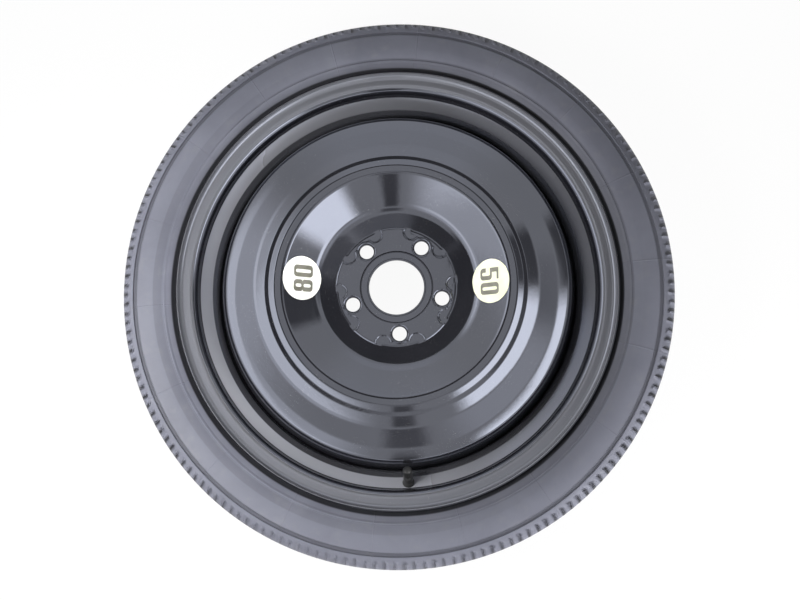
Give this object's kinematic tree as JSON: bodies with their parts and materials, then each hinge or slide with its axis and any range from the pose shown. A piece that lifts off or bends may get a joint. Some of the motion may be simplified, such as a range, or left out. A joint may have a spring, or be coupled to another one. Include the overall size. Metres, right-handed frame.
{
  "type": "space saver spare wheel",
  "caption": "Space saver spare wheel: black pressed steel disc and rim, narrow tubeless tyre, snap-in valve with dust cap and core, and two round speed labels.",
  "frame": {"origin": "middle of the hub bore, in the plane of the mounting face", "axes": "+Z along the wheel axis, outboard, up as the wheel lies; +Y away from the valve; +X to the right seen from outboard"},
  "size_m": [0.6322, 0.6322, 0.1299],
  "materials": {
    "rubber_tyre": "matt black rubber with a grey bloom",
    "black_paint": "gloss black paint",
    "weld": "painted weld bead",
    "valve_rubber": "smooth black rubber",
    "seal_rubber": "matt black rubber",
    "gasket": "matt red sealing ring",
    "brass": "turned brass",
    "spring_steel": "bright wire",
    "cap_plastic": "glossy black plastic",
    "label": "satin pale yellow film"
  },
  "bodies": {
    "wheel": {"tyre": "rubber_tyre", "rim": "black_paint", "wheel_disc": "black_paint", "disc_welds": "weld", "valve_body": "valve_rubber", "valve_stem": "brass", "core_plug": "brass", "core_barrel": "brass", "core_gasket": "gasket", "core_spring": "spring_steel", "label_80": "label", "label_50": "label"},
    "core": {"core_pin": "brass", "core_cup": "brass", "cup_gasket": "seal_rubber"},
    "cap": {"valve_cap": "cap_plastic", "cap_seal": "seal_rubber"}
  },
  "joints": [
    {"name": "cap_lift", "type": "slide", "parent": "wheel", "child": "cap", "axis": [-0.0424, 0.6934, 0.7193], "range_m": [0, 0.012]},
    {"name": "core_press", "type": "slide", "parent": "wheel", "child": "core", "axis": [0.0424, -0.6934, -0.7193], "range_m": [0, 0.0015], "stiffness_N_per_m": 600, "springref_m": -0.002, "deforming": ["core_spring"]}
  ]
}
